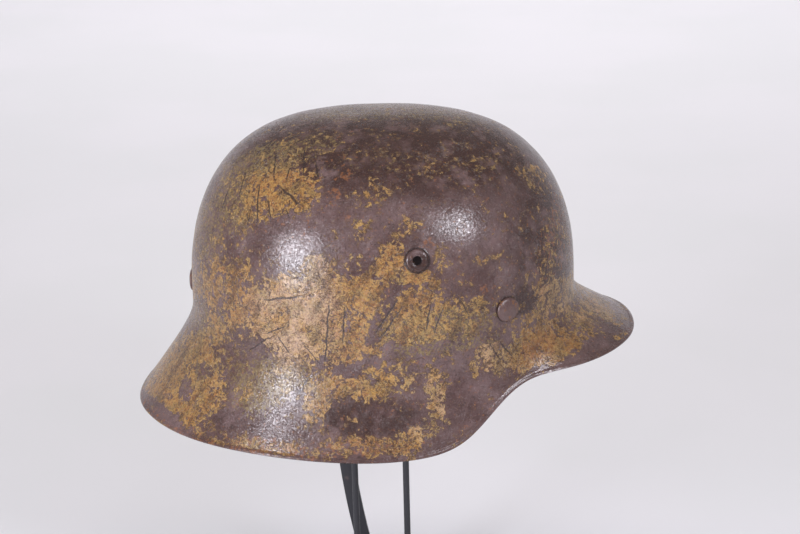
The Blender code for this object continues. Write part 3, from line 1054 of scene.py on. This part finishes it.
class Shader:
    """Material with short calls that add nodes and join them."""

    def __init__(self, name):
        self.material = bpy.data.materials.new(name)
        self.material.use_nodes = True
        self.tree = self.material.node_tree
        self.surface = self.tree.nodes["Principled BSDF"]
        self.coordinates = self.add("ShaderNodeTexCoord").outputs["Object"]

    def add(self, kind, settings=(), **inputs):
        made = self.tree.nodes.new(kind)
        for key, value in dict(settings).items():
            setattr(made, key, value)
        for key, value in inputs.items():
            self.join(made.inputs[key.replace("_", " ")], value)
        return made

    def join(self, socket, value):
        if isinstance(value, bpy.types.NodeSocket):
            self.tree.links.new(value, socket)
        else:
            socket.default_value = value

    def noise(self, scale, detail=4.0, roughness=0.55, shift=0.0, place=None, twist=0.0):
        if shift:
            place = self.add("ShaderNodeMapping", Vector=self.coordinates,
                             Location=(shift, -shift, shift * 0.7)).outputs[0]
        made = self.add("ShaderNodeTexNoise", Vector=place or self.coordinates, Scale=scale,
                        Detail=detail, Roughness=roughness, Distortion=twist)
        return made.outputs["Fac"]

    def slanted(self):
        """Position squeezed along strokes that run down to the rear, as a hand wiped them."""
        turned = self.add("ShaderNodeMapping", {"vector_type": "TEXTURE"}, Vector=self.coordinates,
                          Rotation=(0.0, math.radians(STROKE_SLANT), 0.0),
                          Scale=(1.0, 1.0, STROKE_LENGTH))
        return turned.outputs[0]

    def math(self, operation, *values, clamp=False):
        made = self.add("ShaderNodeMath", {"operation": operation, "use_clamp": clamp})
        for socket, value in zip(made.inputs, values):
            self.join(socket, value)
        return made.outputs[0]

    def times(self, first, second):
        return self.math("MULTIPLY", first, second)

    def raised(self, base, gain, value, middle):
        """Base, raised by how far a value lies above its middle."""
        return self.math("MULTIPLY_ADD", self.math("SUBTRACT", value, middle), gain, base)

    def ramp(self, value, low, high, start=0.0, end=1.0):
        made = self.add("ShaderNodeMapRange", {"interpolation_type": "SMOOTHSTEP"}, Value=value)
        for key, number in (("From Min", low), ("From Max", high), ("To Min", start), ("To Max", end)):
            self.join(made.inputs[key], number)
        return made.outputs["Result"]

    def contour(self, value, level, outer, inner):
        """1 where a value is close to a level, which draws thin curls."""
        return self.ramp(self.math("ABSOLUTE", self.math("SUBTRACT", value, level)), outer, inner)

    def colour(self, factor, first, second):
        made = self.add("ShaderNodeMix", {"data_type": "RGBA"})
        for socket, value in ((made.inputs[0], factor), (made.inputs[6], first), (made.inputs[7], second)):
            self.join(socket, value)
        return made.outputs[2]

    def density(self, name):
        return self.add("ShaderNodeAttribute", {"attribute_name": name}).outputs["Fac"]

    def bump(self, height, distance, normal=None):
        made = self.add("ShaderNodeBump", Height=height, Distance=distance, Strength=1.0)
        if normal:
            self.join(made.inputs["Normal"], normal)
        return made.outputs["Normal"]

    def drift(self, scale, reach):
        """Position moved about by a soft noise, so that patterns run in curls."""
        swirl = self.add("ShaderNodeTexNoise", Vector=self.coordinates, Scale=scale, Detail=2.0)
        moved = self.add("ShaderNodeVectorMath", {"operation": "MULTIPLY_ADD"})
        self.join(moved.inputs[0], swirl.outputs["Color"])
        moved.inputs[1].default_value = (reach, reach, reach)
        self.join(moved.inputs[2], self.coordinates)
        return moved.outputs[0]

    def lines(self, count):
        """1 on the long thin scratches, whose own coordinates are stored in sets on the points."""
        nearest = None
        bend = self.raised(0.0, 5.0, self.noise(160.0, 3.0, 0.6, 19.0), 0.5)
        bend = self.add("ShaderNodeCombineXYZ", Y=bend).outputs[0]
        for number in range(count):
            local = self.add("ShaderNodeAttribute", {"attribute_name": f"scratch_set_{number}"})
            bent = self.add("ShaderNodeVectorMath", {"operation": "ADD"})
            self.join(bent.inputs[0], local.outputs["Vector"])
            self.join(bent.inputs[1], bend)
            reach = self.add("ShaderNodeVectorMath", {"operation": "LENGTH"})
            self.join(reach.inputs[0], bent.outputs[0])
            reach = reach.outputs["Value"]
            nearest = self.math("MINIMUM", nearest, reach) if nearest else reach
        broken = self.math("MULTIPLY_ADD", self.noise(500.0, 3.0, 0.6, 21.0), 0.9, nearest)
        return self.ramp(broken, 1.5, 1.15)

    def finish(self, **inputs):
        for key, value in inputs.items():
            self.join(self.surface.inputs[key.replace("_", " ")], value)
        return self.material


def grey_to_linear(red, green, blue):
    """Shader colour from the 0 to 255 values that a screen shows."""
    def linear(value):
        share = value / 255
        return share / 12.92 if share <= 0.04045 else ((share + 0.055) / 1.055) ** 2.4
    return (linear(red), linear(green), linear(blue), 1.0)


DARK_PAINT = grey_to_linear(92, 68, 65)
GREY_PAINT = grey_to_linear(119, 96, 94)
DEEP_PAINT = grey_to_linear(50, 36, 34)
BROWN_PAINT = grey_to_linear(64, 42, 37)
SAND_PAINT = grey_to_linear(165, 118, 62)
BROWN_SAND = grey_to_linear(138, 89, 46)
YELLOW_SAND = grey_to_linear(184, 143, 72)
OLIVE_PAINT = grey_to_linear(126, 106, 68)
RUST = grey_to_linear(152, 98, 60)
# pale pinkish sand, partly a painted highlight
PALE_SAND_AND_HIGHLIGHT = grey_to_linear(190, 158, 130)
# light sand, also used as painted highlight on the coat's edges
LIGHT_SAND_AND_HIGHLIGHT = grey_to_linear(198, 168, 106)
RUBBED_PAINT = grey_to_linear(98, 77, 72)
# near black: painted shade for the inside of the shell
SHADED_PAINT = grey_to_linear(18, 13, 12)
ORANGE_SAND = grey_to_linear(148, 96, 54)
THIN_SAND = grey_to_linear(128, 95, 66)
BLACK_PAINT = grey_to_linear(46, 46, 50)
GREY_PAPER = grey_to_linear(229, 229, 232)
PALE_PAPER = grey_to_linear(232, 231, 235)
STROKE_SLANT = 32.0        # degrees from upright
STROKE_LENGTH = 4.0        # length of a stroke in shares of its width


def worn_paint(scratch_sets):
    """Dark brown paint with a flaked sand coat, olive specks, rust and scratches, with painted shade on the
    crown, in the creases and outside the coat's edges, and painted highlight on the coat's edges and pale
    patches.
    """
    s = Shader("worn_helmet_paint")
    flaked = s.noise(60.0, 8.0, 0.70, place=s.drift(70.0, 0.009))
    strands = s.noise(190.0, 6.0, 0.68, 4.6, twist=1.8)
    strokes = s.noise(150.0, 5.0, 0.60, place=s.slanted())
    tendrils = s.noise(330.0, 3.0, 0.5, place=s.drift(240.0, 0.0035))
    weave = s.noise(300.0, 3.0, 0.58, 9.4, twist=2.6)

    # How thickly the sand coat lies: above half it covers, below that it is worn thin
    spread = s.raised(s.density("sand"), 1.8, flaked, 0.52)
    spread = s.raised(spread, 2.6, strands, 0.5)
    spread = s.raised(spread, 1.3, strokes, 0.5)
    spread = s.raised(spread, 1.8, tendrils, 0.5)
    sand = s.ramp(spread, 0.485, 0.525)
    thin = s.times(s.ramp(spread, 0.14, 0.50), s.ramp(tendrils, 0.46, 0.60, 0.25, 0.85))
    # Painted highlight along the inner side of the sand coat's edges
    edge_highlight = s.times(s.ramp(spread, 0.49, 0.54), s.ramp(spread, 0.70, 0.58))
    dark_curls = s.contour(weave, 0.48, 0.036, 0.014)
    dark_curls = s.times(dark_curls, s.ramp(strokes, 0.42, 0.54, 0.25, 1.0))
    pits = s.ramp(s.noise(400.0, 5.0, 0.68, 23.0, twist=1.6), 0.51, 0.575)
    light_curls = s.contour(weave, 0.55, 0.026, 0.010)

    speckle = s.noise(560.0, 4.0, 0.62, 8.1, twist=1.0)
    olive = s.raised(s.density("olive"), 3.6, speckle, 0.58)
    olive = s.ramp(olive, 0.44, 0.58)
    rust = s.raised(s.density("rust"), 4.6, s.noise(420.0, 4.0, 0.66, 11.3), 0.55)
    rust = s.ramp(rust, 0.44, 0.60)

    base = s.colour(s.ramp(s.noise(40.0, 6.0, 0.62, 6.6), 0.38, 0.62), DARK_PAINT, GREY_PAINT)
    # Brown paint, and painted shade where it covers the crown
    brown_and_shade = s.times(s.density("brown_and_shade"), s.ramp(s.noise(90.0, 6.0, 0.66, 2.2), 0.3, 0.58))
    base = s.colour(brown_and_shade, base, BROWN_PAINT)
    base = s.colour(s.ramp(s.noise(700.0, 4.0, 0.6, 17.0), 0.54, 0.68, 0.0, 0.6), base, DEEP_PAINT)
    base = s.colour(s.times(thin, 0.55), base, THIN_SAND)
    base = s.colour(s.times(olive, 0.85), base, OLIVE_PAINT)
    base = s.colour(s.times(rust, 0.55), base, RUST)
    # Painted shade just outside the sand coat's edges
    base = s.colour(s.times(s.ramp(spread, 0.41, 0.475), 0.4), base, DEEP_PAINT)

    patchy = s.math("SUBTRACT", s.ramp(strands, 0.38, 0.58, 0.1, 1.3), s.density("warm"), clamp=True)
    coat = s.colour(patchy, BROWN_SAND, SAND_PAINT)
    orange = s.ramp(s.noise(26.0, 5.0, 0.68, 31.0, twist=1.2), 0.47, 0.60, 0.0, 0.75)
    coat = s.colour(orange, coat, ORANGE_SAND)
    yellow = s.math("MULTIPLY_ADD", s.density("warm"), -0.6, 1.0)
    yellow = s.times(s.ramp(tendrils, 0.50, 0.60, 0.0, 0.7), yellow)
    coat = s.colour(yellow, coat, YELLOW_SAND)
    flecks = s.times(s.density("olive"), s.ramp(speckle, 0.42, 0.56, 0.0, 0.75))
    coat = s.colour(flecks, coat, OLIVE_PAINT)
    # Pale sand, partly a painted highlight on the band above the flare and on the visor
    coat = s.colour(s.times(s.density("pale_sand_and_highlight"), s.ramp(flaked, 0.35, 0.6, 0.0, 0.8)), coat, PALE_SAND_AND_HIGHLIGHT)
    coat = s.colour(s.times(rust, 0.5), coat, RUST)
    coat = s.colour(s.ramp(s.noise(75.0, 5.0, 0.7, 27.0), 0.50, 0.60, 0.0, 0.55), coat, OLIVE_PAINT)
    # Painted highlight on the coat's edges, with lighter sand along the light curls
    coat = s.colour(s.times(s.math("MAXIMUM", edge_highlight, light_curls), 0.6), coat, LIGHT_SAND_AND_HIGHLIGHT)
    coat = s.colour(s.ramp(strokes, 0.54, 0.66, 0.0, 0.5), coat, BROWN_PAINT)
    coat = s.colour(s.times(pits, s.ramp(spread, 1.2, 0.6, 0.45, 0.9)), coat, BROWN_PAINT)
    coat = s.colour(s.times(dark_curls, 0.9), coat, BROWN_PAINT)
    paint = s.colour(sand, base, coat)
    # Painted shade in the creases round the vents and rivets
    paint = s.colour(s.times(s.density("crevice_shade"), 0.8), paint, DEEP_PAINT)

    cut = s.lines(scratch_sets)
    paint = s.colour(s.times(cut, 0.9), paint, DEEP_PAINT)

    grain = s.noise(720.0, 2.0, 0.5, 13.0, twist=0.6)
    normal = s.bump(s.noise(230.0, 3.0, 0.5, 15.0), 0.00006)
    normal = s.bump(grain, 0.00016, normal)
    normal = s.bump(s.math("SUBTRACT", sand, s.math("MAXIMUM", cut, dark_curls)), 0.00010, normal)
    rough = s.ramp(grain, 0.3, 0.7, 0.15, 0.29)
    rough = s.math("MULTIPLY_ADD", sand, 0.06, rough)
    return s.finish(Base_Color=paint, Roughness=rough, Normal=normal, Specular_IOR_Level=0.75)


def inside_finish_with_shade():
    """Old dark paint inside the shell, rubbed and rusted, made near black as painted shade so that the vent
    holes look black.
    """
    s = Shader("inside_finish_with_painted_shade")
    broad = s.noise(40.0, 6.0, 0.62, 2.0)
    fine = s.noise(420.0, 4.0, 0.6, 5.0)
    field = s.math("MULTIPLY_ADD", fine, 0.6, broad)
    # Painted shade: the inside is mostly near-black SHADED_PAINT, darker than its paint
    paint = s.colour(s.ramp(field, 0.62, 0.9), SHADED_PAINT, DEEP_PAINT)
    paint = s.colour(s.ramp(s.noise(75.0, 6.0, 0.65, 9.0), 0.56, 0.62, 0.0, 0.8), paint, DEEP_PAINT)
    paint = s.colour(s.ramp(s.noise(190.0, 5.0, 0.65, 12.0), 0.62, 0.66, 0.0, 0.5), paint, RUST)
    normal = s.bump(fine, 0.0002)
    normal = s.bump(s.noise(1500.0, 2.0, 0.5, 3.0), 0.0001, normal)
    return s.finish(Base_Color=paint, Roughness=s.ramp(broad, 0.3, 0.7, 0.55, 0.75), Normal=normal,
                    Specular_IOR_Level=0.3)


def rivet_paint():
    """Dark paint on a domed head, rubbed paler on top, with sand paint left in spots."""
    s = Shader("worn_rivet_paint")
    broad = s.noise(240.0, 5.0, 0.62, 4.0)
    fine = s.noise(900.0, 3.0, 0.6, 6.0)
    paint = s.colour(s.ramp(fine, 0.42, 0.58), DARK_PAINT, RUBBED_PAINT)
    paint = s.colour(s.ramp(broad, 0.5, 0.64, 0.0, 0.8), paint, BROWN_PAINT)
    sand = s.ramp(s.math("MULTIPLY_ADD", fine, 0.5, broad), 0.80, 0.84)
    paint = s.colour(s.times(sand, 0.7), paint, BROWN_SAND)
    normal = s.bump(broad, 0.00020)
    normal = s.bump(fine, 0.00016, normal)
    return s.finish(Base_Color=paint, Roughness=s.ramp(broad, 0.35, 0.65, 0.22, 0.36), Normal=normal,
                    Specular_IOR_Level=0.75)


def black_metal():
    """Satin black enamel with fine dust and small rubs."""
    s = Shader("satin_black_metal")
    fine = s.noise(900.0, 4.0, 0.6, 2.0)
    rubs = s.ramp(s.noise(140.0, 6.0, 0.7, 5.0), 0.6, 0.7, 0.0, 0.35)
    paint = s.colour(rubs, BLACK_PAINT, GREY_PAINT)
    normal = s.bump(fine, 0.00006)
    return s.finish(Base_Color=paint, Roughness=s.ramp(fine, 0.3, 0.7, 0.34, 0.5), Normal=normal)


# Studio

def make_stage():
    """Pale round table that sweeps up into a low wall all round, beyond every camera."""
    s = Shader("pale_paper")
    paper = s.colour(s.ramp(s.noise(3.0, 3.0, 0.5, 1.0), 0.35, 0.65), GREY_PAPER, PALE_PAPER)
    finish = s.finish(Base_Color=paper, Roughness=0.85)
    sweep = STAGE_WALL - STAGE_FLOOR
    profile = [(STAGE_WALL, STAGE_HEIGHT)]
    for i in range(STAGE_STEPS + 1):
        turn = math.radians(90 * i / STAGE_STEPS)
        profile.append((STAGE_FLOOR + sweep * math.cos(turn), sweep * (1 - math.sin(turn))))
    profile += [(radius, 0.0) for radius in STAGE_RINGS]
    mesh = lathe("table_and_backdrop", profile, STAGE_SIDES, Matrix.Translation((0, 0, -STAGE_GAP)))
    mesh.materials.append(finish)
    stage = bpy.data.objects.new("table_and_backdrop", mesh)
    bpy.context.scene.collection.objects.link(stage)


COOL = grey_to_linear(246, 246, 255)[:3]
WARM = grey_to_linear(255, 251, 243)[:3]
NEUTRAL = grey_to_linear(250, 248, 250)[:3]
WORLD = grey_to_linear(244, 240, 242)
WORLD_STRENGTH = 0.32
SOFTBOXES = (
    # name, aim, azimuth, elevation, distance, width, height, power, colour, seen in shiny surfaces
    ("tall_left_softbox", CAMERA_AIM, -39, 10, 1.3, 0.33, 0.54, 12, COOL, True),
    ("right_softbox", CAMERA_AIM, 39, 29, 1.3, 0.26, 0.26, 5.9, COOL, True),
    ("front_softbox", CAMERA_AIM, 0, 2, 1.5, 1.2, 0.8, 2.6, COOL, False),
    ("top_softbox", (0.0, 0.8, 0.3), 0, 48, 1.0, 1.8, 0.5, 4.2, WARM, False),
    ("table_softbox", (0.0, 1.95, 0.0), 0, 90, 1.5, 3.0, 1.6, 28, NEUTRAL, False),
)


def make_light():
    """Rectangular lights that face their aims, and a pale world."""
    for name, aim, azimuth, elevation, distance, width, height, power, colour, mirrored in SOFTBOXES:
        turn, rise = math.radians(azimuth), math.radians(elevation)
        toward = Vector((math.sin(turn) * math.cos(rise), -math.cos(turn) * math.cos(rise), math.sin(rise)))
        light = bpy.data.lights.new(name, "AREA")
        light.shape = "RECTANGLE"
        light.size, light.size_y = width, height
        light.energy = power
        light.color = colour
        lamp = bpy.data.objects.new(name, light)
        lamp.visible_glossy = mirrored
        lamp.visible_camera = False
        lamp.location = Vector(aim) + toward * distance
        lamp.rotation_euler = toward.to_track_quat("Z", "Y").to_euler()
        bpy.context.scene.collection.objects.link(lamp)
    world = bpy.data.worlds.new("studio")
    bpy.context.scene.world = world
    world.use_nodes = True
    background = world.node_tree.nodes["Background"]
    background.inputs["Color"].default_value = WORLD
    background.inputs["Strength"].default_value = WORLD_STRENGTH
    bpy.context.scene.view_settings.view_transform = "Standard"


def main():
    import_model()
    make_camera()
    mesh = make_shell_mesh()
    corners = [vert.co for vert in mesh.vertices]
    tree = BVHTree.FromPolygons(corners, [face.vertices for face in mesh.polygons])
    scratch_sets = sort_scratches(place_scratches(tree))
    outer, inner = worn_paint(len(scratch_sets)), inside_finish_with_shade()
    points = np.empty(len(mesh.vertices) * 3)
    mesh.vertices.foreach_get("co", points)
    normals = np.empty(len(mesh.vertices) * 3)
    mesh.vertices.foreach_get("normal", normals)
    densities = paint_densities(points.reshape(-1, 3), normals.reshape(-1, 3))
    for layer, values in densities.items():
        store(mesh, layer, values)
    store_scratches(mesh, points.reshape(-1, 3), scratch_sets)
    add_piece("painted_shell", mesh, "shell", "helmet_paint", outer, inner)
    head_finish = rivet_paint()
    for name, bearing, level in RIVETS:
        make_rivet(name, bearing, level, head_finish)
    black = black_metal()
    make_rod("stand_rear_rod", black)
    make_rod("stand_front_rod", black)
    make_disc("stand_base", black, 128)
    make_disc("stand_rest", black, 96)
    make_strut(black)
    make_stage()
    make_light()


main()
